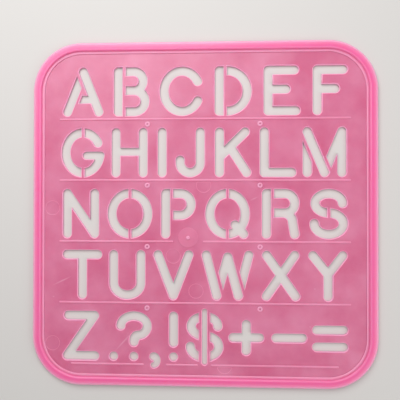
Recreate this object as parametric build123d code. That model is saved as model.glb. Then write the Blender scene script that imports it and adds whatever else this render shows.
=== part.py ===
"""Lettering stencil: one square moulding with the capitals A to Z and eight signs cut through it.

The moulding is written region by region, each a solid of its own that meets its neighbours face
to face: the flat sheet in panels of two to four characters, the raised rim with the low step
inside it, the guide lines under the rows, and the small marks that the mould leaves. Millimetres.
The origin is the centre of the underside, +X runs along the rows, and +Z points out of the face
with the rim, the one that is looked at in use.
"""
import os
from math import atan2, cos, degrees, hypot, radians, sin

from build123d import *

# Lettering, which sets the size of the square round it
letter_height = 25.4
row_gap = 6.35
edge_margin = 12.7
side_margin = 14.7
stroke_width = 4.5
crossbar_width = 4.0
bridge_width = 1.75
dot_diameter = 4.4
comma_height = 8.2
comma_reach = 3.5
comma_tail_diameter = 3.1
dollar_bar_width = 2.6
dollar_bar_overrun = 1.75

# Sheet and rim
sheet_thickness = 1.5
corner_radius = 25.4
rim_width = 4.4
rim_height = 3.0
rim_outer_rounding = 1.3
rim_inner_rounding = 0.9
rim_foot_rounding = 0.4
step_width = 1.4
step_rise = 0.5
step_rounding = 0.3

# Guide lines
guide_width = 1.0
guide_rise = 0.4
guide_rounding = 0.2
guide_overrun = 0.5
last_guide_inset = 6.3
comma_gap = 12.4
dollar_gap = 7.8

# Marks of the mould
ring_diameter = 2.7
ring_hole_diameter = 1.0
ring_rise = 0.4
ring_rounding = 0.12
ring_column_spacing = 58.2
gate_disc_diameter = 10.2
gate_disc_rise = 0.2
gate_nub_diameter = 1.9
gate_nub_rise = 0.7
gate_nub_rounding = 0.3
gate_line_clearance = 3.1
ejector_mark_diameter = 7.2
ejector_mark_depth = 0.1

# Depths of the guide lines and the rings below their row, as shares of the gap between rows
guide_drop_share = 0.268
ring_drop_share = 0.693

# Places of the marks, as shares of half the side
gate_place_shares = (-0.089, -0.139)
ejector_mark_place_shares = (
    (0.001, 0.165),
    (-0.175, -0.247),
    (-0.042, -0.449),
    (0.123, -0.882),
    (-0.884, -0.759),
    (-0.887, 0.033),
)

# The characters of each row from left to right, in the groups whose panels the sheet is divided
# into
panel_groups = (
    {"panel_a_to_c": "ABC", "panel_d_to_f": "DEF"},
    {"panel_g_to_j": "GHIJ", "panel_k_to_m": "KLM"},
    {"panel_n_to_p": "NOP", "panel_q_to_s": "QRS"},
    {"panel_t_to_v": "TUV", "panel_w_to_y": "WXY"},
    {"panel_z_to_comma": "Z.?,", "panel_exclamation_to_dollar": "!$", "panel_plus_to_equals": "+-="},
)

# How far across the gap between two groups the sheet is divided, row by row
division_shares = (0.62, 0.38, 0.5, 0.5, 0.5)

# Widths of the characters as shares of the letter height, and the gaps before, between and after
# them as shares of the row's spare length
width_shares = {
    "A": 0.83, "B": 0.73, "C": 0.908, "D": 0.745, "E": 0.735, "F": 0.69,
    "G": 0.885, "H": 0.737, "I": 0.177, "J": 0.587, "K": 0.728, "L": 0.73, "M": 0.868,
    "N": 0.743, "O": 0.915, "P": 0.697, "Q": 0.893, "R": 0.744, "S": 0.757,
    "T": 0.812, "U": 0.736, "V": 0.807, "W": 1.039, "X": 0.762, "Y": 0.772,
    "Z": 0.751, ".": 0.177, "?": 0.718, ",": 0.236, "!": 0.177, "$": 0.754,
    "+": 0.71, "-": 0.704, "=": 0.706,
}
gap_shares = (
    (0.4, 3.15, 3.1, 3.08, 3.49, 3.58, 0.35),
    (0.0, 2.17, 3.05, 2.72, 3.06, 2.55, 1.88, 0.67),
    (0.45, 2.62, 2.68, 2.92, 3.58, 3.06, 0.25),
    (0.44, 2.18, 2.5, 2.54, 2.53, 2.4, 0.44),
    (0.53, 3.05, -0.45, -0.6, 2.45, 2.35, 1.62, 2.22, 1.58, 0.28),
)

# Letters made of straight strokes: the ends and corners of each stroke, as shares of the cell
straight_stroke_shares = {
    "E": (((0.94, 1), (0, 1), (0, 0), (1, 0)), ((0, 0.53), (0.64, 0.53))),
    "F": (((1, 1), (0, 1), (0, 0)), ((0, 0.535), (0.69, 0.535))),
    "I": (((0, 1), (0, 0)),),
    "K": (((0, 1), (0, 0)), ((0.94, 1), (0, 0.38)), ((0.39, 0.635), (1, 0))),
    "L": (((0, 1), (0, 0), (1, 0)),),
    "N": (((0, 0), (0, 1), (1, 0), (1, 1)),),
    "T": (((0, 1), (1, 1)), ((0.5, 1), (0.5, 0))),
    "V": (((0, 1), (0.5, 0), (1, 1)),),
    "X": (((0.01, 1), (1, 0)), ((0.97, 1), (0, 0))),
    "Y": (((0, 1), (0.51, 0.54), (1, 1)), ((0.51, 0.54), (0.51, 0))),
    "Z": (((0.04, 1), (0.99, 1), (0, 0), (1, 0)),),
    "-": (((0, 0.497), (1, 0.497)),),
    "=": (((0, 0.703), (1, 0.703)), ((0, 0.29), (1, 0.29))),
}

# Heights of bars and ends of arcs in the other letters, as shares of the cell
a_bar_share = 0.31
b_bar_share = 0.527
b_upper_bowl_share = 0.93
g_bar_share = 0.427
g_bar_start_share = 0.606
h_bar_share = 0.519
j_hook_share = 0.306
p_bar_share = 0.462
q_tail_shares = ((0.715, 0.226), (0.96, 0.0))
r_bar_share = 0.523
r_leg_shares = ((0.604, 0.523), (0.927, 0.286), (1.0, 0.0))
s_middle_share = 0.526
s_upper_width_share = 0.94
u_bowl_share = 0.3
w_foot_shares = (0.247, 0.755)
w_peak_shares = (0.506, 0.955)
question_bowl_share = 0.244
question_turn_shares = (0.66, 0.23)
mark_stem_share = 0.35
plus_middle_share = 0.494

# Angles of the open ends of the round letters, in degrees above the middle
c_opening = 28.5
g_opening = 29.0

# Worked out from the sizes above
rows = tuple("".join(groups.values()) for groups in panel_groups)
row_pitch = letter_height + row_gap
side = len(rows) * row_pitch - row_gap + 2 * edge_margin
half_side = side / 2
block_width = side - 2 * side_margin
half_stroke = stroke_width / 2
sheet_inset = rim_width + step_width
beyond = 2 * side


class Cell:
    """A character's place: the box that the middles of its outermost strokes run along."""

    def __init__(self, left, width, base):
        self.left = left + half_stroke
        self.base = base + half_stroke
        self.width = width - stroke_width
        self.height = letter_height - stroke_width
        self.right = self.left + self.width
        self.top = self.base + self.height
        self.middle = self.left + self.width / 2

    def at(self, x_share, y_share):
        """The point at these shares of the box's width and height."""
        return (self.left + x_share * self.width, self.base + y_share * self.height)


def disc(centre, diameter=stroke_width):
    """A round spot, such as the end of a stroke."""
    return Pos(*centre) * Circle(diameter / 2)


def slot(start, end, width=stroke_width):
    """A straight stroke with round ends centred on its two points."""
    run = (end[0] - start[0], end[1] - start[1])
    middle = ((start[0] + end[0]) / 2, (start[1] + end[1]) / 2)
    angle = degrees(atan2(run[1], run[0]))
    return Pos(*middle) * SlotCenterToCenter(hypot(*run), width, rotation=angle)


def stroke(points):
    """Straight strokes end to end, each corner rounded on its outside."""
    shape = slot(points[0], points[1])
    for start, end in zip(points[1:], points[2:]):
        shape += slot(start, end)
    return shape


def ring(centre, x_radius, y_radius):
    """A closed oval stroke whose middle has these radii."""
    outer = Ellipse(x_radius + half_stroke, y_radius + half_stroke)
    inner = Ellipse(x_radius - half_stroke, y_radius - half_stroke)
    return Pos(*centre) * (outer - inner)


def block(corner, opposite):
    """The rectangle between two opposite corners."""
    middle = ((corner[0] + opposite[0]) / 2, (corner[1] + opposite[1]) / 2)
    return Pos(*middle) * Rectangle(abs(opposite[0] - corner[0]), abs(opposite[1] - corner[1]))


def quarter(corner, x_turn, y_turn):
    """All that lies to one side of a point and above or below it: turns are 1 or -1."""
    return block(corner, (corner[0] + x_turn * beyond, corner[1] + y_turn * beyond))


def right_of(x):
    return block((x, -beyond), (x + beyond, beyond))


def above(y):
    return block((-beyond, y), (beyond, y + beyond))


def below(y):
    return block((-beyond, y), (beyond, y - beyond))


def between(start, end, share):
    """The point this share of the way from start to end."""
    return (start[0] + share * (end[0] - start[0]), start[1] + share * (end[1] - start[1]))


def wedge(centre, upper_end, lower_end):
    """All that lies to the right between the rays from centre through two points."""
    reach = beyond / (upper_end[0] - centre[0])
    far_upper = between(centre, upper_end, reach)
    far_lower = between(centre, lower_end, reach)
    return make_face(Polyline(centre, far_lower, far_upper, close=True))


def bowl(stem_x, right, low, high):
    """Two bars that leave a stem and the half round that joins them on the right."""
    radius = (high - low) / 2
    centre = (right - radius, low + radius)
    half_round = ring(centre, radius, radius) & right_of(centre[0])
    upper_bar = slot((stem_x, high), (centre[0], high))
    lower_bar = slot((stem_x, low), (centre[0], low))
    return half_round + upper_bar + lower_bar


def bridge_right_of(x):
    """The upright bridge that starts at x."""
    return block((x, -beyond), (x + bridge_width, beyond))


def bridge_through(x):
    """The upright bridge whose middle is x."""
    return bridge_right_of(x - bridge_width / 2)


def bridge_beside(start, end, turn):
    """The bridge along one edge of a straight stroke: turn is 1 for its left, -1 for its right."""
    run = (end[0] - start[0], end[1] - start[1])
    length = hypot(*run)
    away = turn * (half_stroke + bridge_width / 2) / length
    middle = ((start[0] + end[0]) / 2 - away * run[1], (start[1] + end[1]) / 2 + away * run[0])
    return Pos(*middle) * Rectangle(beyond, bridge_width, rotation=degrees(atan2(run[1], run[0])))


def arc_end(centre, x_radius, y_radius, angle):
    """The point of an oval's middle line at this angle of its circle."""
    return (centre[0] + x_radius * cos(radians(angle)), centre[1] + y_radius * sin(radians(angle)))


def letter_a(cell):
    foot, peak, other_foot = cell.at(0, 0), cell.at(0.5, 1), cell.at(1, 0)
    left_leg = slot(foot, peak) - bridge_beside(peak, other_foot, -1)
    bar_start = between(foot, peak, a_bar_share)
    bar_end = between(other_foot, peak, a_bar_share)
    bar = slot(bar_start, bar_end, crossbar_width) - bridge_beside(foot, peak, -1)
    return left_leg + slot(peak, other_foot) + bar


def letter_b(cell):
    waist = cell.at(b_upper_bowl_share, b_bar_share)
    upper = bowl(cell.left, waist[0], waist[1], cell.top)
    lower = bowl(cell.left, cell.right, cell.base, waist[1])
    stem = slot(cell.at(0, 0), cell.at(0, 1))
    return stem + upper + lower - bridge_right_of(cell.left + half_stroke)


def letter_c(cell):
    centre = cell.at(0.5, 0.5)
    radii = (cell.width / 2, cell.height / 2)
    upper_end = arc_end(centre, *radii, c_opening)
    lower_end = arc_end(centre, *radii, -c_opening)
    mouth = wedge(centre, upper_end, lower_end)
    return ring(centre, *radii) - mouth + disc(upper_end) + disc(lower_end)


def letter_d(cell):
    stem = slot(cell.at(0, 0), cell.at(0, 1))
    round_side = bowl(cell.left, cell.right, cell.base, cell.top)
    return stem + round_side - bridge_right_of(cell.left + half_stroke)


def letter_g(cell):
    centre = cell.at(0.5, 0.5)
    radii = (cell.width / 2, cell.height / 2)
    upper_end = arc_end(centre, *radii, g_opening)
    bar_start = cell.at(g_bar_start_share, g_bar_share)
    bar_end = (cell.right + (stroke_width - crossbar_width) / 2, bar_start[1])
    mouth = wedge(centre, upper_end, (upper_end[0], centre[1]))
    mouth += block(centre, (centre[0] + beyond, bar_start[1]))
    band = ring(centre, *radii) - mouth - bridge_through(centre[0])
    return band + disc(upper_end) + slot(bar_start, bar_end, crossbar_width)


def letter_h(cell):
    bar = slot(cell.at(0, h_bar_share), cell.at(1, h_bar_share), crossbar_width)
    return slot(cell.at(0, 0), cell.at(0, 1)) + slot(cell.at(1, 0), cell.at(1, 1)) + bar


def letter_j(cell):
    radius = cell.width / 2
    centre = (cell.middle, cell.base + radius)
    bottom = ring(centre, radius, radius) & below(centre[1])
    hook = slot((cell.left, centre[1]), cell.at(0, j_hook_share))
    stem = slot((cell.right, centre[1]), cell.at(1, 1))
    return bottom + hook + stem


def letter_m(cell):
    left_top, foot, right_top = cell.at(0, 1), cell.at(0.5, 0), cell.at(1, 1)
    left_stem = slot(cell.at(0, 0), left_top) - bridge_beside(left_top, foot, -1)
    right_arm = slot(foot, right_top) - bridge_beside(left_top, foot, 1)
    return left_stem + slot(left_top, foot) + right_arm + slot(right_top, cell.at(1, 0))


def letter_o(cell):
    return ring(cell.at(0.5, 0.5), cell.width / 2, cell.height / 2) - bridge_through(cell.middle)


def letter_p(cell):
    low = cell.at(0, p_bar_share)[1]
    stem = slot(cell.at(0, 0), cell.at(0, 1))
    return stem + bowl(cell.left, cell.right, low, cell.top) - bridge_right_of(cell.left + half_stroke)


def letter_q(cell):
    tail_start, tail_end = q_tail_shares
    return letter_o(cell) + slot(cell.at(*tail_start), cell.at(*tail_end))


def letter_r(cell):
    low = cell.at(0, r_bar_share)[1]
    leg_start, leg_knee, leg_end = (cell.at(*shares) for shares in r_leg_shares)
    knee_radii = (leg_knee[0] - leg_start[0], leg_start[1] - leg_knee[1])
    knee_centre = (leg_start[0], leg_knee[1])
    knee = ring(knee_centre, *knee_radii) & quarter(knee_centre, 1, 1)
    stem = slot(cell.at(0, 0), cell.at(0, 1))
    right = bowl(cell.left, cell.right, low, cell.top) + knee + slot(leg_knee, leg_end)
    return stem + right - bridge_right_of(cell.left + half_stroke)


def s_curve(cell):
    """Two ovals, the upper without its lower right quarter, the lower without its upper left."""
    waist = cell.at(0.5, s_middle_share)
    upper_radii = (s_upper_width_share * cell.width / 2, (cell.top - waist[1]) / 2)
    lower_radii = (cell.width / 2, (waist[1] - cell.base) / 2)
    upper_centre = (waist[0], waist[1] + upper_radii[1])
    lower_centre = (waist[0], waist[1] - lower_radii[1])
    upper = ring(upper_centre, *upper_radii) - quarter(upper_centre, 1, -1)
    lower = ring(lower_centre, *lower_radii) - quarter(lower_centre, -1, 1)
    upper_end = disc((upper_centre[0] + upper_radii[0], upper_centre[1]))
    lower_end = disc((lower_centre[0] - lower_radii[0], lower_centre[1]))
    return upper + upper_end + lower + lower_end, upper_centre, lower_centre


def letter_s(cell):
    curve, upper_centre, lower_centre = s_curve(cell)
    bridge = bridge_through(cell.middle) & below(upper_centre[1]) & above(lower_centre[1])
    return curve - bridge


def letter_u(cell):
    radii = (cell.width / 2, u_bowl_share * cell.height)
    centre = (cell.middle, cell.base + radii[1])
    bottom = ring(centre, *radii) & below(centre[1])
    left_stem = slot((cell.left, centre[1]), cell.at(0, 1))
    right_stem = slot((cell.right, centre[1]), cell.at(1, 1))
    return bottom + left_stem + right_stem


def letter_w(cell):
    first_top, last_top = cell.at(0, 1), cell.at(1, 1)
    peak = cell.at(*w_peak_shares)
    left_foot, right_foot = (cell.at(share, 0) for share in w_foot_shares)
    rising = slot(left_foot, peak) - bridge_beside(first_top, left_foot, 1)
    last = slot(right_foot, last_top) - bridge_beside(peak, right_foot, 1)
    return slot(first_top, left_foot) + rising + slot(peak, right_foot) + last


def full_stop(cell):
    return disc(cell.at(0.5, 0), dot_diameter)


def question_mark(cell):
    bowl_radii = (cell.width / 2, question_bowl_share * cell.height)
    bowl_centre = (cell.middle, cell.top - bowl_radii[1])
    over = ring(bowl_centre, *bowl_radii) & above(bowl_centre[1])
    turn_radii = (question_turn_shares[0] * cell.width / 2, question_turn_shares[1] * cell.height)
    turn_centre = (cell.right - turn_radii[0], bowl_centre[1])
    turn = ring(turn_centre, *turn_radii) & quarter(turn_centre, 1, -1)
    neck_radius = turn_centre[0] - cell.middle
    neck_centre = (turn_centre[0], turn_centre[1] - turn_radii[1] - neck_radius)
    neck = disc(neck_centre, 2 * neck_radius + stroke_width) & quarter(neck_centre, -1, 1)
    stem = slot((cell.middle, neck_centre[1]), cell.at(0.5, mark_stem_share))
    return over + disc((cell.left, bowl_centre[1])) + turn + neck + stem + full_stop(cell)


def comma(cell):
    """A full stop, half an oval that hangs from its top, and the round end of the tail."""
    head = cell.at(0, 0)
    middle = (head[0], head[1] - (comma_height - dot_diameter) / 2)
    body = Pos(*middle) * Ellipse(comma_reach, comma_height / 2) & right_of(head[0])
    tail_end = (head[0], middle[1] - (comma_height - comma_tail_diameter) / 2)
    return disc(head, dot_diameter) + body + disc(tail_end, comma_tail_diameter)


def exclamation_mark(cell):
    return slot(cell.at(0.5, 1), cell.at(0.5, mark_stem_share)) + full_stop(cell)


def dollar_sign(cell):
    curve = s_curve(cell)[0]
    half_bar = dollar_bar_width / 2
    clear = half_bar + bridge_width
    band = block((cell.middle - clear, -beyond), (cell.middle + clear, beyond))
    reach = half_stroke + dollar_bar_overrun - half_bar
    bar = slot((cell.middle, cell.base - reach), (cell.middle, cell.top + reach), dollar_bar_width)
    return curve - band + bar


def plus_sign(cell):
    centre = cell.at(0.5, plus_middle_share)
    arm = cell.width / 2
    level = slot((centre[0] - arm, centre[1]), (centre[0] + arm, centre[1]))
    upright = slot((centre[0], centre[1] - arm), (centre[0], centre[1] + arm))
    return level + upright


def straight_letter(name, cell):
    """A letter or sign of straight strokes, from its table."""
    shape = Sketch()
    for shares in straight_stroke_shares[name]:
        shape += stroke([cell.at(*share) for share in shares])
    return shape


other_characters = {
    "A": letter_a, "B": letter_b, "C": letter_c, "D": letter_d, "G": letter_g, "H": letter_h,
    "J": letter_j, "M": letter_m, "O": letter_o, "P": letter_p, "Q": letter_q, "R": letter_r,
    "S": letter_s, "U": letter_u, "W": letter_w, ".": full_stop, "?": question_mark,
    ",": comma, "!": exclamation_mark, "$": dollar_sign, "+": plus_sign,
}


def row_base(row):
    """Height on the page of the foot of a row, the rows centred on the square."""
    middle_row = (len(rows) - 1) / 2
    return (middle_row - row) * row_pitch - letter_height / 2


def cells_of(row):
    """Each character of a row with its cell, spaced by the row's gap shares."""
    names = rows[row]
    widths = [width_shares[name] * letter_height for name in names]
    spare = block_width - sum(widths)
    gaps = [share * spare / sum(gap_shares[row]) for share in gap_shares[row]]
    left = -block_width / 2
    cells = {}
    for name, width, gap in zip(names, widths, gaps):
        left += gap
        cells[name] = Cell(left, width, row_base(row))
        left += width
    return cells


def cut_outs(row):
    """Every opening of a row as one sketch."""
    shape = Sketch()
    for name, cell in cells_of(row).items():
        if name in straight_stroke_shares:
            shape += straight_letter(name, cell)
        else:
            shape += other_characters[name](cell)
    return shape


def rounded_square(inset):
    """The outline of the square, drawn in by an inset all round."""
    size = side - 2 * inset
    return RectangleRounded(size, size, corner_radius - inset)


def guide_height(row):
    """Height on the page of the middle of the guide line under a row."""
    return row_base(row) - guide_drop_share * row_gap


def row_sheet(row):
    """The flat sheet from the guide line above a row to the one below it, with its openings."""
    high = guide_height(row - 1) if row > 0 else beyond
    low = guide_height(row) if row < len(rows) - 1 else -beyond
    outline = rounded_square(sheet_inset) & block((-beyond, low), (beyond, high))
    sheet = extrude(outline - cut_outs(row), sheet_thickness)
    for place in ejector_mark_place_shares:
        centre = (place[0] * half_side, place[1] * half_side, sheet_thickness)
        sheet -= Pos(*centre) * Cylinder(ejector_mark_diameter / 2, 2 * ejector_mark_depth)
    return sheet


def row_panels(row):
    """The panels of a row by name, divided in the gaps between its groups."""
    sheet = row_sheet(row)
    cells = cells_of(row)
    groups = list(panel_groups[row].values())
    edges = [-beyond]
    for group, next_group in zip(groups, groups[1:]):
        start = cells[group[-1]].right
        end = cells[next_group[0]].left
        edges.append(start + division_shares[row] * (end - start))
    edges.append(beyond)
    panels = {}
    for name, left, right in zip(panel_groups[row], edges, edges[1:]):
        panels[name] = sheet & extrude(block((left, -beyond), (right, beyond)), sheet_thickness)
    return panels


def square_band(outer_inset, inner_inset, height):
    """A square ring of the moulding from the underside up."""
    return extrude(rounded_square(outer_inset) - rounded_square(inner_inset), height)


def edges_at(shape, height, inset):
    """The edges at this height that run round the square at this inset."""
    straight = half_side - inset
    corner = (corner_radius - inset) * (1 - cos(radians(45)))
    found = []
    for edge in shape.edges().filter_by_position(Axis.Z, height, height):
        middle = edge @ 0.5
        out = max(abs(middle.X), abs(middle.Y))
        if min(abs(out - straight), abs(out - (straight - corner))) < step_width / 2:
            found.append(edge)
    return ShapeList(found)


def raised_rim():
    """The thick round-topped border that stiffens the sheet."""
    rim = square_band(0, rim_width, rim_height)
    rim = fillet(edges_at(rim, rim_height, 0), rim_outer_rounding)
    rim = fillet(edges_at(rim, rim_height, rim_width), rim_inner_rounding)
    return fillet(edges_at(rim, 0, 0), rim_foot_rounding)


def rim_step():
    """The low step between the rim and the sheet."""
    height = sheet_thickness + step_rise
    band = square_band(rim_width, sheet_inset, height)
    return fillet(edges_at(band, height, sheet_inset), step_rounding)


def rib(start, end):
    """One stretch of guide line on the sheet's face, its top edge rounded."""
    shape = Pos(0, 0, sheet_thickness) * extrude(slot(start, end, guide_width), guide_rise)
    return fillet(shape.edges().group_by(Axis.Z)[-1], guide_rounding)


def guide_line(row):
    """The ruled line under a row, broken at the gate, the comma and the dollar sign."""
    height = guide_height(row)
    reach = block_width / 2 + guide_overrun
    breaks = []
    if row == 2:
        clear = gate_disc_diameter / 2 + gate_line_clearance
        gate_x = gate_place_shares[0] * half_side
        breaks = [(gate_x - clear, gate_x + clear)]
    if row == 4:
        reach -= last_guide_inset
        cells = cells_of(row)
        for name, gap in ((",", comma_gap), ("$", dollar_gap)):
            breaks.append((cells[name].middle - gap / 2, cells[name].middle + gap / 2))
    starts = [-reach] + [right for left, right in breaks]
    ends = [left for left, right in breaks] + [reach]
    return [rib((start, height), (end, height)) for start, end in zip(starts, ends)]


def marker_rings():
    """The small raised rings, two under each row but the last."""
    ring_shape = extrude(Circle(ring_diameter / 2) - Circle(ring_hole_diameter / 2), ring_rise)
    ring_shape = fillet(ring_shape.edges().group_by(Axis.Z)[-1], ring_rounding)
    rings = []
    for row in range(len(rows) - 1):
        height = row_base(row) - ring_drop_share * row_gap
        for turn in (-1, 1):
            rings.append(Pos(turn * ring_column_spacing / 2, height, sheet_thickness) * ring_shape)
    return rings


def gate_disc():
    """The shallow round pad where the plastic entered the mould."""
    centre = (gate_place_shares[0] * half_side, gate_place_shares[1] * half_side, sheet_thickness)
    return Pos(*centre) * extrude(Circle(gate_disc_diameter / 2), gate_disc_rise)


def gate_nub():
    """The stub left on the pad when the sprue was cut off."""
    foot = sheet_thickness + gate_disc_rise
    centre = (gate_place_shares[0] * half_side, gate_place_shares[1] * half_side, foot)
    nub = extrude(Circle(gate_nub_diameter / 2), gate_nub_rise)
    nub = fillet(nub.edges().group_by(Axis.Z)[-1], gate_nub_rounding)
    return Pos(*centre) * nub


pieces = {}
for row in range(len(rows)):
    pieces.update(row_panels(row))
pieces["raised_rim"] = raised_rim()
pieces["rim_step"] = rim_step()
for row in range(len(rows)):
    pieces[f"guide_line_{row + 1}"] = Compound(children=guide_line(row))
pieces["marker_rings"] = Compound(children=marker_rings())
pieces["gate_disc"] = gate_disc()
pieces["gate_nub"] = gate_nub()

os.makedirs("parts", exist_ok=True)
for name, shape in pieces.items():
    export_step(shape, f"parts/{name}.step")
    print(name, len(shape.solids()), round(shape.volume, 2))
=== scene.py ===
import bpy
import numpy as np
from mathutils.geometry import delaunay_2d_cdt
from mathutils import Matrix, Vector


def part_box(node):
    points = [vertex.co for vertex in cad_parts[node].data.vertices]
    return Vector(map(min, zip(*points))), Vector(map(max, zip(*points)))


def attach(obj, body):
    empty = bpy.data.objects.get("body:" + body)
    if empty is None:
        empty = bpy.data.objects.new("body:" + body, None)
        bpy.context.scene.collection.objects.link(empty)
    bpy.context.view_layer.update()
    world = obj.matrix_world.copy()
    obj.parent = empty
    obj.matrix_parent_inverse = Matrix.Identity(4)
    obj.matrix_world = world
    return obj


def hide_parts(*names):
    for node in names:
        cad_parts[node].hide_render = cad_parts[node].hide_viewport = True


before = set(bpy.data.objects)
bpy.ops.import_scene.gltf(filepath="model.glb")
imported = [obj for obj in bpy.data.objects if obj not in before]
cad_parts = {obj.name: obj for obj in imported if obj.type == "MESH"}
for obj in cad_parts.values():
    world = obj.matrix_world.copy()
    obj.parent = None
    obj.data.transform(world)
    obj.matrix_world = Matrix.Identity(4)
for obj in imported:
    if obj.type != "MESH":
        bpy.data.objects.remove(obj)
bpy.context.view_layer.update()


# The rim and its step.
# The stencil is one shot of see-through pink polypropylene, so one closed skin goes over all of it.
# Its border is a thick rim that keeps the sheet flat, moulded with a low step inside it.
mm = 0.001
half_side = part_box("raised_rim")[1].x
rim_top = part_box("raised_rim")[1].z
step_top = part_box("rim_step")[1].z
sheet_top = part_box("panel_a_to_c")[1].z
corner_radius = 25.4 * mm
corner_steps = 24
rim_width = 4.4 * mm
step_width = 1.4 * mm
foot_radius = 0.4 * mm
foot_steps = 4
outer_radius = 1.3 * mm
outer_steps = 9
inner_radius = 0.9 * mm
inner_steps = 8
step_radius = 0.3 * mm
step_steps = 5
cove_radius = 0.1 * mm
step_cove_radius = 0.15 * mm
cove_steps = 3
# How the painted highlight lies on the rim: full on its outer rounded shoulder and fading over the
# top, weak on the inner shoulder, strong on the step's edge. A rounded edge that turns by the full
# light turn gets all of it.
outer_light_fade = 1.4 * mm
inner_light_fade = 0.1 * mm
outer_light = 1.0
inner_light = 0.3
step_light = 0.85
step_depth = 0.35
full_light_turn = np.radians(10)
longest_mitre = 2
merging_distance = 1e-6
right, top, left, bottom = np.radians((0, 90, 180, -90))
anticlockwise, clockwise = 1, -1


def unit(vectors):
    """The vectors, each over its own length."""
    return vectors / np.linalg.norm(vectors, axis=-1, keepdims=True)


def moved_out(outline, distance):
    """The outline moved outwards, each point along the mitre m = (n1 + n2) / (1 + n1 . n2).

    n1 and n2 are the outward normals of the sides that meet there. At a sharp tip the mitre is cut
    to the longest one.
    """
    ahead = unit(np.roll(outline, -1, axis=0) - outline)
    normal = np.column_stack((ahead[:, 1], -ahead[:, 0]))
    before = np.roll(normal, 1, axis=0)
    mitre = (normal + before) / (1 + (normal * before).sum(axis=1, keepdims=True))
    length = np.linalg.norm(mitre, axis=1, keepdims=True)
    return outline + distance * mitre * np.minimum(1, longest_mitre / length)


def quarter(out, height, radius, start, way, steps):
    """A profile's points on a quarter circle: (out + radius cos a, height + radius sin a).

    The angle a goes from one side of the circle a right angle on, either way round.
    """
    angle = start + way * np.linspace(0, np.pi / 2, steps + 1)
    return np.column_stack((out + radius * np.cos(angle), height + radius * np.sin(angle)))


class Skin:
    """A closed skin of bands carried round outlines and of flat faces between their end rows."""

    def __init__(self):
        self.points = []
        self.bands = []
        self.flats = []
        self.lights = []
        self.depths = []
        self.count = 0

    def band(self, outline, profile, painted_highlight=1.0, end_lights=(0.0, 0.0), depth=0.0):
        """Carries a profile of (out, height) round an outline; returns its first and last rows.

        Row k is the outline moved out by out[k] at height[k]. Its painted highlight, a share of
        lighter colour, is 0 on a flat, and on a rounded edge, where the profile turns left, as much
        as is given;
        the end rows have theirs. The depth of plastic is 0 in the sheet and 1 in the rim. The
        highlight and the depth are one value each or one to each row.
        """
        rows = [np.column_stack((moved_out(outline, out), np.full(len(outline), height)))
                for out, height in profile]
        number = self.count + np.arange(len(rows) * len(outline)).reshape(len(rows), -1)
        self.points.extend(rows)
        self.count += number.size
        step = np.diff(profile, axis=0)
        cross = step[:-1, 0] * step[1:, 1] - step[:-1, 1] * step[1:, 0]
        turn = np.arctan2(cross, (step[:-1] * step[1:]).sum(axis=1))
        row_light = np.broadcast_to(painted_highlight, len(rows))[1:-1] * np.clip(turn / full_light_turn, 0, 1)
        lights = np.concatenate((end_lights[:1], row_light, end_lights[1:]))
        self.lights.append(np.repeat(lights, len(outline)))
        self.depths.append(np.repeat(np.broadcast_to(depth, len(rows)), len(outline)))
        low, high = number[:-1], number[1:]
        quads = (low, np.roll(low, -1, axis=1), np.roll(high, -1, axis=1), high)
        self.bands.append(np.stack(quads, axis=-1).reshape(-1, 4))
        return number[0], number[-1]

    def flat(self, outer, holes=(), up=True):
        """Fills the plane inside one row of points and outside the others with triangles.

        They are the Delaunay triangles of the rows' points that lie inside the outer row alone.
        """
        everything = np.concatenate(self.points)
        numbers = np.concatenate([outer, *holes])
        sizes = [len(outer)] + [len(hole) for hole in holes]
        loops = [list(range(end - size, end)) for size, end in zip(sizes, np.cumsum(sizes))]
        places = (everything[numbers, :2] / mm).tolist()
        inside_only = 1
        filled = delaunay_2d_cdt(places, [], loops, inside_only, merging_distance)
        triangles, sources, insides = filled[2], filled[3], filled[5]
        source = np.array([originals[0] for originals in sources])
        kept = [triangle for triangle, inside in zip(triangles, insides) if inside == [0]]
        kept = numbers[source[np.array(kept)]]
        self.flats.append(kept if up else kept[:, ::-1])

    def mesh(self, name):
        """The mesh: its bands smooth, its flats flat, each point with its painted highlight and
        depth.
        """
        quads = np.concatenate(self.bands)
        triangles = np.concatenate(self.flats)
        faces = quads.tolist() + triangles.tolist()
        made = bpy.data.meshes.new(name)
        made.from_pydata(np.concatenate(self.points).tolist(), [], faces)
        smooth = np.arange(len(faces)) < len(quads)
        made.polygons.foreach_set("use_smooth", smooth)
        # Each point's painted highlight share and depth of plastic go to the shader as attributes.
        for attribute, values in (("painted_highlight", self.lights), ("depth", self.depths)):
            layer = made.attributes.new(attribute, "FLOAT", "POINT")
            layer.data.foreach_set("value", np.concatenate(values).astype(np.float32))
        made.update()
        return made


def rounded_square(half, radius, steps):
    """Quarter circles round the four corners, anticlockwise from the lower right.

    Each point is its corner's centre plus radius times (cos a, sin a), and a goes once round.
    """
    angle = np.radians(np.linspace(-90, 0, steps + 1)[None, :] + 90 * np.arange(4)[:, None])
    middle = half - radius
    x = np.array([middle, middle, -middle, -middle])[:, None] + radius * np.cos(angle)
    y = np.array([-middle, middle, middle, -middle])[:, None] + radius * np.sin(angle)
    return np.column_stack((x.ravel(), y.ravel()))


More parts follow.
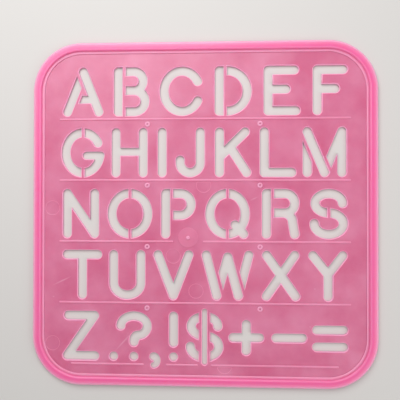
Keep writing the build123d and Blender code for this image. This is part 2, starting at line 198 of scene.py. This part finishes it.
skin = Skin()
top_holes = []
underside_holes = []
step_inset = rim_width + step_width
inner_edge = inner_radius - rim_width
rim_profile = np.concatenate((
    [(-step_inset - step_cove_radius, 0), (-step_inset, 0), (-rim_width, 0)],
    quarter(-foot_radius, foot_radius, foot_radius, bottom, anticlockwise, foot_steps),
    quarter(-outer_radius, rim_top - outer_radius, outer_radius, right, anticlockwise, outer_steps),
    [(-outer_radius - outer_light_fade, rim_top), (inner_edge + inner_light_fade, rim_top)],
    quarter(inner_edge, rim_top - inner_radius, inner_radius, top, anticlockwise, inner_steps),
    quarter(-rim_width - cove_radius, step_top + cove_radius, cove_radius,
            right, clockwise, cove_steps)[1:],
    quarter(step_radius - step_inset, step_top - step_radius, step_radius,
            top, anticlockwise, step_steps),
    quarter(-step_inset - step_cove_radius, sheet_top + step_cove_radius, step_cove_radius,
            right, clockwise, cove_steps),
))
inset = -rim_profile[:, 0]
depth_insets = (rim_width, rim_width + cove_radius, step_inset, step_inset + step_cove_radius)
rim_depth = np.interp(inset, depth_insets, (1, step_depth, step_depth, 0))
# The painted highlight across the rim's profile, from the outer shoulder to the step's edge.
light_insets = (outer_radius, rim_width - inner_radius, rim_width, step_inset - step_radius)
rim_light = np.interp(inset, light_insets, (outer_light, inner_light, inner_light, step_light))
square = rounded_square(half_side, corner_radius, corner_steps)
underside_edge, sheet_edge = skin.band(square, rim_profile, rim_light, depth=rim_depth)


# The cut-outs.
# Each letter and sign goes straight through the sheet, with bridges that hold its middles. The
# mould gives it a rounded edge above and a finer one below, and its curves are true arcs.
edge_radius = 0.45 * mm
edge_steps = 6
lower_edge_radius = 0.15 * mm
lower_edge_steps = 3
corner_turn = np.radians(40)
corner_bulge = 0.12 * mm
arc_step = np.radians(5)
tip_share = 0.42
crowding_share = 1.15
widest_bulge_turn = np.radians(86)
widest_tip_turn = np.radians(150)
weld_distance = 0.0001 * mm
level_tolerance = 0.001 * mm


def welded(points):
    """The different points of an array to the weld distance, and each point's number in them."""
    keys = np.round(points / weld_distance).astype(np.int64)
    first, number = np.unique(keys, axis=0, return_index=True, return_inverse=True)[1:]
    return points[first], number.reshape(-1)


def closed_loops(starts, ends):
    """The loops that sides make, each from its start to its end, as rows of points in their order.

    Each side looks one side back, then two, four and so on, until it has gone once round. The
    lowest side that it meets gives its loop, and the way back to that side its place there.
    """
    sides = np.arange(len(starts))
    by_start = np.argsort(starts)
    before = np.empty_like(sides)
    before[by_start[np.searchsorted(starts[by_start], ends)]] = sides
    doublings = range(int(np.ceil(np.log2(len(sides)))))
    lowest = sides
    back = before
    for _ in doublings:
        lowest = np.minimum(lowest, lowest[back])
        back = back[back]
    place = np.where(lowest == sides, 0, 1)
    back = np.where(lowest == sides, sides, before)
    for _ in doublings:
        place = place + place[back]
        back = back[back]
    order = np.lexsort((place, lowest))
    return np.split(starts[order], np.flatnonzero(np.diff(lowest[order])) + 1)


def flat_outlines(node, height):
    """Closed outlines, anticlockwise, of a solid's faces that lie flat at this height.

    A side of a flat triangle that no other flat triangle has in the other direction is part of an
    outline. The largest outline comes first.
    """
    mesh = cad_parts[node].data
    points = np.empty(3 * len(mesh.vertices), np.float32)
    mesh.vertices.foreach_get("co", points)
    corners = np.empty(len(mesh.loops), np.int32)
    mesh.loops.foreach_get("vertex_index", corners)
    points, number = welded(points.reshape(-1, 3).astype(float))
    triangles = number[corners].reshape(-1, 3)
    level = np.abs(points[:, 2] - height) < level_tolerance
    triangles = triangles[level[triangles].all(axis=1)]
    starts = triangles.reshape(-1)
    ends = np.roll(triangles, -1, axis=1).reshape(-1)
    lone = ~np.isin(starts * len(points) + ends, ends * len(points) + starts)
    outlines = [points[loop, :2] for loop in closed_loops(starts[lone], ends[lone])]
    outlines = [outline if area(outline) > 0 else outline[::-1] for outline in outlines]
    return sorted(outlines, key=area, reverse=True)


def area(outline):
    """Half the sum of the cross products of neighbouring points: positive if anticlockwise."""
    following = np.roll(outline, -1, axis=0)
    return (outline[:, 0] * following[:, 1] - outline[:, 1] * following[:, 0]).sum() / 2


def turns(outline):
    """The angle by which an outline turns left at each point."""
    ahead = np.roll(outline, -1, axis=0) - outline
    behind = np.roll(ahead, 1, axis=0)
    cross = behind[:, 0] * ahead[:, 1] - behind[:, 1] * ahead[:, 0]
    return np.arctan2(cross, (behind * ahead).sum(axis=1))


def mirrored(direction, chord_direction):
    """The direction that an arc along the chord has at one end, from that at its other end."""
    along = (direction * chord_direction).sum(axis=1, keepdims=True)
    return unit(2 * along * chord_direction - direction)


def with_smooth_arcs(outline):
    """The outline with its short chords rounded into the arcs that they stand for.

    A point is a corner where the outline turns by more than the corner turn, or where half the
    shorter side times tan(turn / 2) passes the corner bulge. Elsewhere its direction is that of the
    line through both neighbours. Each chord from a to b becomes a cubic,
    p = (2t^3 - 3t^2 + 1) a + (t^3 - 2t^2 + t) r u + (3t^2 - 2t^3) b + (t^3 - t^2) r v,
    where u and v are its directions there and r is its length over cos^2 of a quarter of its bend.
    """
    chord = np.roll(outline, -1, axis=0) - outline
    length = np.linalg.norm(chord, axis=1)
    turn = np.abs(turns(outline))
    shorter = np.minimum(length, np.roll(length, 1))
    bulge = shorter * np.tan(np.minimum(turn, widest_bulge_turn) / 2) / 2
    corner = (turn > corner_turn) | (bulge > corner_bulge)
    direction = unit(chord)
    at_start = unit(np.roll(outline, -1, axis=0) - np.roll(outline, 1, axis=0))
    at_end = np.roll(at_start, -1, axis=0)
    from_corner = corner[:, None]
    to_corner = np.roll(corner, -1)[:, None]
    start = np.where(to_corner, direction, mirrored(at_end, direction))
    start = np.where(from_corner, start, at_start)
    end = np.where(from_corner, direction, mirrored(at_start, direction))
    end = np.where(to_corner, end, at_end)
    bend = np.arccos(np.clip((start * end).sum(axis=1), -1, 1))
    steps = np.maximum(1, np.ceil(bend / arc_step)).astype(int)
    index = np.repeat(np.arange(len(outline)), steps)
    first = np.repeat(np.cumsum(steps) - steps, steps)
    t = ((np.arange(steps.sum()) - first) / steps[index])[:, None]
    reach = (length / np.cos(bend / 4) ** 2)[index, None]
    ahead = np.roll(outline, -1, axis=0)[index]
    curve = ((2 * t**3 - 3 * t**2 + 1) * outline[index]
             + (t**3 - 2 * t**2 + t) * reach * start[index]
             + (3 * t**2 - 2 * t**3) * ahead
             + (t**3 - t**2) * reach * end[index])
    return without_crowding(curve)


def without_crowding(outline):
    """The outline without the points so near to a tip of the sheet that its edge would fold.

    The edge of a tip that turns by a moves in by the edge radius, and meets the other side's at
    edge radius times tan(a / 2) from the tip.
    """
    turn = turns(outline)
    length = np.linalg.norm(np.roll(outline, -1, axis=0) - outline, axis=1)
    place = np.cumsum(length) - length
    tips = np.flatnonzero(turn < -corner_turn)
    reach = crowding_share * edge_radius * np.tan(np.minimum(-turn[tips], widest_tip_turn) / 2)
    away = np.abs(place[:, None] - place[tips])
    away = np.minimum(away, length.sum() - away)
    crowded = ((away > 0) & (away < reach)).any(axis=1)
    return outline[~crowded]


def edge_radius_round(outline):
    """The edge radius, or less where a tip of sheet between two corners is narrower than two."""
    corner = turns(outline) < -corner_turn
    length = np.linalg.norm(np.roll(outline, -1, axis=0) - outline, axis=1)
    tips = length[corner & np.roll(corner, -1)]
    return min([edge_radius, *(tip_share * tips)])


panels = [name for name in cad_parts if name.startswith("panel_")]
for panel in panels:
    for outline in flat_outlines(panel, 0)[1:]:
        radius = edge_radius_round(outline)
        wall_profile = np.concatenate((
            quarter(radius, sheet_top - radius, radius, top, anticlockwise, edge_steps),
            quarter(lower_edge_radius, lower_edge_radius, lower_edge_radius, left, anticlockwise,
                    lower_edge_steps),
        ))
        # The cut-out's rounded edges get the full painted highlight.
        top_row, bottom_row = skin.band(with_smooth_arcs(outline), wall_profile)
        top_holes.append(top_row)
        underside_holes.append(bottom_row)


# The guide lines.
# Low ribs with rounded backs stand on the sheet under each row, moulded with it in the same pink.
# They end before the gate, the comma and the dollar sign, and a painted highlight lightens
# their backs.
guide_cove_radius = 0.1 * mm
guide_cove_steps = 2
guide_back_radius = 0.3 * mm
guide_back_steps = 5
guide_light = 0.5
guides = [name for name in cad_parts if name.startswith("guide_line_")]
guide_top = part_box(guides[0])[1].z
guide_profile = np.concatenate((
    quarter(guide_cove_radius, sheet_top + guide_cove_radius, guide_cove_radius,
            bottom, clockwise, guide_cove_steps),
    quarter(-guide_back_radius, guide_top - guide_back_radius, guide_back_radius,
            right, anticlockwise, guide_back_steps)[1:],
))
for guide in guides:
    for outline in flat_outlines(guide, sheet_top):
        foot_row, crest_row = skin.band(with_smooth_arcs(outline), guide_profile, guide_light,
                                        end_lights=(0.0, guide_light))
        top_holes.append(foot_row)
        skin.flat(crest_row)


# The marker rings.
# Two small rings stand under each of the first four rows, to line a row up with the last one. Each
# is moulded round a dimple, and a painted highlight makes it lighter than the sheet all over.
ring_cove_radius = 0.06 * mm
ring_cove_steps = 2
ring_outer_radius = 0.25 * mm
ring_outer_steps = 5
ring_inner_radius = 0.15 * mm
ring_inner_steps = 3
ring_circle_steps = 48
ring_light = 1.0
ring_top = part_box("marker_rings")[1].z


def circle(centre, radius, steps):
    """Points of a circle, anticlockwise: centre + radius (cos a, sin a)."""
    angle = np.arange(steps) * 2 * np.pi / steps
    return np.column_stack((centre[0] + radius * np.cos(angle), centre[1] + radius * np.sin(angle)))


def centre_and_radius(outline):
    """The middle of a round outline and the distance of its farthest point from it."""
    middle = (outline.min(axis=0) + outline.max(axis=0)) / 2
    return middle, np.linalg.norm(outline - middle, axis=1).max()


ring_side_profile = np.concatenate((
    quarter(ring_cove_radius, sheet_top + ring_cove_radius, ring_cove_radius,
            bottom, clockwise, ring_cove_steps),
    quarter(-ring_outer_radius, ring_top - ring_outer_radius, ring_outer_radius,
            right, anticlockwise, ring_outer_steps),
))
dimple_profile = np.concatenate((
    quarter(ring_inner_radius, ring_top - ring_inner_radius, ring_inner_radius,
            top, anticlockwise, ring_inner_steps),
    quarter(-ring_cove_radius, sheet_top + ring_cove_radius, ring_cove_radius,
            right, clockwise, ring_cove_steps),
))
ring_outlines = flat_outlines("marker_rings", sheet_top)
dimple_radius = centre_and_radius(ring_outlines[-1])[1]
for outline in ring_outlines[:len(ring_outlines) // 2]:
    centre, radius = centre_and_radius(outline)
    foot_row, crest_row = skin.band(circle(centre, radius, ring_circle_steps), ring_side_profile,
                                    end_lights=(0.0, ring_light))
    brink_row, floor_row = skin.band(circle(centre, dimple_radius, ring_circle_steps),
                                     dimple_profile, end_lights=(ring_light, 0.0))
    top_holes.append(foot_row)
    skin.flat(crest_row, [brink_row])
    skin.flat(floor_row)


# The gate.
# The plastic came in here, on a shallow round pad with the trimmed stub still on it. A faint
# painted highlight makes the pad a little paler than the sheet, and a strong one makes the stub
# lightest.
gate_edge_radius = 0.1 * mm
gate_cove_steps = 2
gate_edge_steps = 3
nub_radius = 0.3 * mm
nub_steps = 5
pad_circle_steps = 72
nub_circle_steps = 48
pad_light = 0.14
nub_light = 0.9
gate_centre, pad_radius = centre_and_radius(flat_outlines("gate_disc", sheet_top)[0])
pad_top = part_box("gate_disc")[1].z
nub_outline_radius = centre_and_radius(flat_outlines("gate_nub", pad_top)[0])[1]
nub_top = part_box("gate_nub")[1].z
pad_profile = np.concatenate((
    quarter(gate_edge_radius, sheet_top + gate_edge_radius, gate_edge_radius,
            bottom, clockwise, gate_cove_steps),
    quarter(-gate_edge_radius, pad_top - gate_edge_radius, gate_edge_radius,
            right, anticlockwise, gate_edge_steps)[1:],
))
nub_profile = np.concatenate((
    quarter(gate_edge_radius, pad_top + gate_edge_radius, gate_edge_radius,
            bottom, clockwise, gate_cove_steps),
    quarter(-nub_radius, nub_top - nub_radius, nub_radius, right, anticlockwise, nub_steps),
))
foot_row, pad_row = skin.band(circle(gate_centre, pad_radius, pad_circle_steps), pad_profile,
                              pad_light, end_lights=(0.0, pad_light))
top_holes.append(foot_row)
nub_foot_row, nub_row = skin.band(circle(gate_centre, nub_outline_radius, nub_circle_steps),
                                  nub_profile, nub_light, end_lights=(pad_light, nub_light))
skin.flat(pad_row, [nub_foot_row])
skin.flat(nub_row)


# The ejector marks.
# The pins that pushed the moulding out left shallow round marks, at these shares of the half side.
# Where a guide line crosses one, the mark is seen below the line.
mark_place_shares = (
    (0.001, 0.165), (-0.175, -0.247), (-0.042, -0.449),
    (0.123, -0.882), (-0.884, -0.759), (-0.887, 0.033),
)
mark_radius = 3.6 * mm
mark_depth = 0.1 * mm
mark_slope = 0.22 * mm
mark_slope_steps = 4
mark_circle_steps = 72
mark_clearance = 0.15 * mm
slope_share = np.linspace(0, 1, mark_slope_steps + 1)
mark_profile = np.column_stack((
    mark_slope * (1 - 2 * slope_share),
    sheet_top - mark_depth * (1 - np.cos(np.pi * slope_share)) / 2,
))
for x_share, y_share in mark_place_shares:
    centre = (x_share * half_side, y_share * half_side)
    mark = circle(centre, mark_radius, mark_circle_steps)
    for low, high in map(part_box, guides):
        crossed = abs((low.y + high.y) / 2 - centre[1]) < mark_radius + high.y - low.y
        if crossed and low.x < centre[0] < high.x:
            mark = mark[mark[:, 1] < low.y - guide_cove_radius - mark_clearance - mark_slope]
    # The mark's rounded brink, where its profile turns down, gets a painted highlight.
    edge_row, floor_row = skin.band(mark, mark_profile)
    top_holes.append(edge_row)
    skin.flat(floor_row)


# The sheet.
# Two flat faces close the skin: the sheet's top, round everything that stands on it or goes through
# it, and the underside that lies on the paper.
skin.flat(sheet_edge, top_holes)
skin.flat(underside_edge, underside_holes, up=False)
moulding = bpy.data.objects.new("stencil_moulding", skin.mesh("stencil_moulding"))
bpy.context.scene.collection.objects.link(moulding)


# The plastic.
# Polypropylene, injection moulded in pink: satin and milky, deeper in colour where it is thick,
# with a painted highlight that lightens its rounded edges. The melt left faint clouds and low waves
# in it, and use a few pale scratches.
sheet_pink = "#d66c93"
milky_pink = "#e38bac"
rim_pink = "#f06da8"
# The colour of the painted highlight on rounded edges, mixed in by each point's highlight share.
highlight_pink = "#ffa8c8"
worn_pink = "#e6a2bd"
polypropylene_ior = 1.49
satin_roughness = 0.36
scatter_length = 2.5 * mm
scatter_shares = (1.0, 0.7, 0.75)
cloud_size = 22 * mm
cloud_detail = 4.0
cloud_roughness = 0.55
cloud_range = (0.34, 0.68)
wave_size = 5 * mm
wave_detail = 2.0
wave_height = 0.01 * mm
scratch_width = 0.5 * mm
# Three scratches and three specks, each from its start to its end, in millimetres.
scratch_ends = (
    ((-78.7, -37.5), (-68.7, -32.7)),
    ((-46.5, -72.1), (-36.8, -61.5)),
    ((24.0, 6.8), (28.4, 8.9)),
    ((-78.3, -43.4), (-78.1, -43.4)),
    ((54.5, -57.6), (54.7, -57.6)),
    ((56.9, -38.3), (57.1, -38.3)),
)
# A colour Mix node has sockets of one name for each kind of value, so these go by number.
mix_share, mix_first, mix_second, mixed = 0, 6, 7, 2


def linear(hex_colour):
    """An sRGB hex colour as linear red, green, blue and alpha, by the standard's two curves."""
    channels = np.array([int(hex_colour[i:i + 2], 16) / 255 for i in (1, 3, 5)])
    low = channels / 12.92
    high = ((channels + 0.055) / 1.055) ** 2.4
    return (*np.where(channels <= 0.04045, low, high).tolist(), 1.0)


def add_node(tree, kind, settings=None, links=None, **properties):
    """Adds a shader node: settings are socket values by name or number, links are sources."""
    node = tree.nodes.new(kind)
    for name, value in properties.items():
        setattr(node, name, value)
    for socket, value in (settings or {}).items():
        node.inputs[socket].default_value = value
    for socket, source in (links or {}).items():
        tree.links.new(source, node.inputs[socket])
    return node


def new_material(name):
    """An empty node material and its tree."""
    made = bpy.data.materials.new(name)
    made.use_nodes = True
    made.node_tree.nodes.clear()
    return made, made.node_tree


pink_plastic, tree = new_material("moulded_pink_polypropylene")
place = add_node(tree, "ShaderNodeTexCoord").outputs["Object"]
depth = add_node(tree, "ShaderNodeAttribute", attribute_name="depth").outputs["Fac"]
# Each point's share of painted highlight: lighter colour laid on rounded edges.
painted_highlight = add_node(tree, "ShaderNodeAttribute", attribute_name="painted_highlight").outputs["Fac"]

# A scratch is a long thin ellipse that fades from its middle line, and a speck a short one.
scratches = []
for start, end in np.array(scratch_ends) * mm:
    reach = np.linalg.norm(end - start) / 2 + scratch_width
    heading = np.arctan2(*(end - start)[::-1])
    along = add_node(tree, "ShaderNodeMapping", {
        "Location": (*(start + end) / 2, 0.0),
        "Rotation": (0.0, 0.0, heading),
        "Scale": (reach, scratch_width, 1.0),
    }, {"Vector": place}, vector_type="TEXTURE")
    fading = add_node(tree, "ShaderNodeTexGradient", links={"Vector": along.outputs["Vector"]},
                      gradient_type="SPHERICAL")
    scratches.append(fading.outputs["Fac"])
wear = scratches[0]
for scratch in scratches[1:]:
    wear = add_node(tree, "ShaderNodeMath", links={0: wear, 1: scratch},
                    operation="MAXIMUM").outputs["Value"]

clouds = add_node(tree, "ShaderNodeTexNoise", {
    "Scale": 1 / cloud_size,
    "Detail": cloud_detail,
    "Roughness": cloud_roughness,
}, {"Vector": place})
cloudiness = add_node(tree, "ShaderNodeMapRange", dict(zip(("From Min", "From Max"), cloud_range)),
                      {"Value": clouds.outputs["Fac"]})
colour = add_node(tree, "ShaderNodeMix", {
    mix_first: linear(sheet_pink),
    mix_second: linear(milky_pink),
}, {mix_share: cloudiness.outputs["Result"]}, data_type="RGBA").outputs[mixed]
# Then the rim's deeper pink for thick plastic, the scratches, and last the painted highlight on
# rounded edges.
for share, pink in ((depth, rim_pink), (wear, worn_pink), (painted_highlight, highlight_pink)):
    colour = add_node(tree, "ShaderNodeMix", {mix_second: linear(pink)},
                      {mix_share: share, mix_first: colour}, data_type="RGBA").outputs[mixed]
waves = add_node(tree, "ShaderNodeTexNoise", {"Scale": 1 / wave_size, "Detail": wave_detail},
                 {"Vector": place})
wavy = add_node(tree, "ShaderNodeBump", {"Strength": 1.0, "Distance": wave_height},
                {"Height": waves.outputs["Fac"]})
shader = add_node(tree, "ShaderNodeBsdfPrincipled", {
    "Roughness": satin_roughness,
    "IOR": polypropylene_ior,
    "Subsurface Weight": 1.0,
    "Subsurface Scale": scatter_length,
    "Subsurface Radius": scatter_shares,
}, {"Base Color": colour, "Normal": wavy.outputs["Normal"]})
add_node(tree, "ShaderNodeOutputMaterial", links={"Surface": shader.outputs["BSDF"]})
moulding.data.materials.append(pink_plastic)
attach(moulding, "root")
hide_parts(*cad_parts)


# The floor.
# A plain pale matt sheet under the stencil, wide enough to fill every view.
floor_half = 2.0
floor_grey = "#d6d3d0"
matt_roughness = 0.8
floor_mesh = bpy.data.meshes.new("floor")
floor_corners = [(-floor_half, -floor_half, 0), (floor_half, -floor_half, 0),
                 (floor_half, floor_half, 0), (-floor_half, floor_half, 0)]
floor_mesh.from_pydata(floor_corners, [], [(0, 1, 2, 3)])
floor = bpy.data.objects.new("floor", floor_mesh)
bpy.context.scene.collection.objects.link(floor)
floor_paint, tree = new_material("pale_matt_floor")
shader = add_node(tree, "ShaderNodeBsdfPrincipled",
                  {"Base Color": linear(floor_grey), "Roughness": matt_roughness})
add_node(tree, "ShaderNodeOutputMaterial", links={"Surface": shader.outputs["BSDF"]})
floor_mesh.materials.append(floor_paint)


# The light.
# A soft key lamp above the upper left, a weaker one to the right and an even white surround. The
# key lamp is near enough for the sheet to be lightest at its upper edge, as in the photograph.
lamp_size = 0.3
lamps = (
    ("key_lamp", 1.3, (-0.10, 0.26, 0.34)),
    ("fill_lamp", 0.55, (0.36, -0.16, 0.32)),
)
surround_white = "#ffffff"
surround_strength = 0.46
for name, power, location in lamps:
    lamp_data = bpy.data.lights.new(name, "AREA")
    lamp_data.shape = "SQUARE"
    lamp_data.size = lamp_size
    lamp_data.energy = power
    lamp = bpy.data.objects.new(name, lamp_data)
    lamp.location = location
    lamp.rotation_euler = (-lamp.location).to_track_quat("-Z", "Y").to_euler()
    bpy.context.scene.collection.objects.link(lamp)
world = bpy.data.worlds.new("surround")
world.use_nodes = True
background = world.node_tree.nodes["Background"]
background.inputs["Color"].default_value = linear(surround_white)
background.inputs["Strength"].default_value = surround_strength
bpy.context.scene.world = world


# The camera.
# It looks straight down from a little right of and above the middle, as in the photograph.
sensor_width = 36.0
lens_length = 45.0
nearest_shown = 10 * mm
camera_place = (0.01003, 0.00496, 0.25925)
camera_turn = (0.4702, 2.6073, 0.075)
camera_data = bpy.data.cameras.new("camera")
camera_data.sensor_width = sensor_width
camera_data.lens = lens_length
camera_data.clip_start = nearest_shown
camera = bpy.data.objects.new("camera", camera_data)
camera.location = camera_place
camera.rotation_euler = np.radians(camera_turn)
bpy.context.scene.collection.objects.link(camera)
bpy.context.scene.camera = camera
bpy.context.scene.view_settings.view_transform = "Standard"
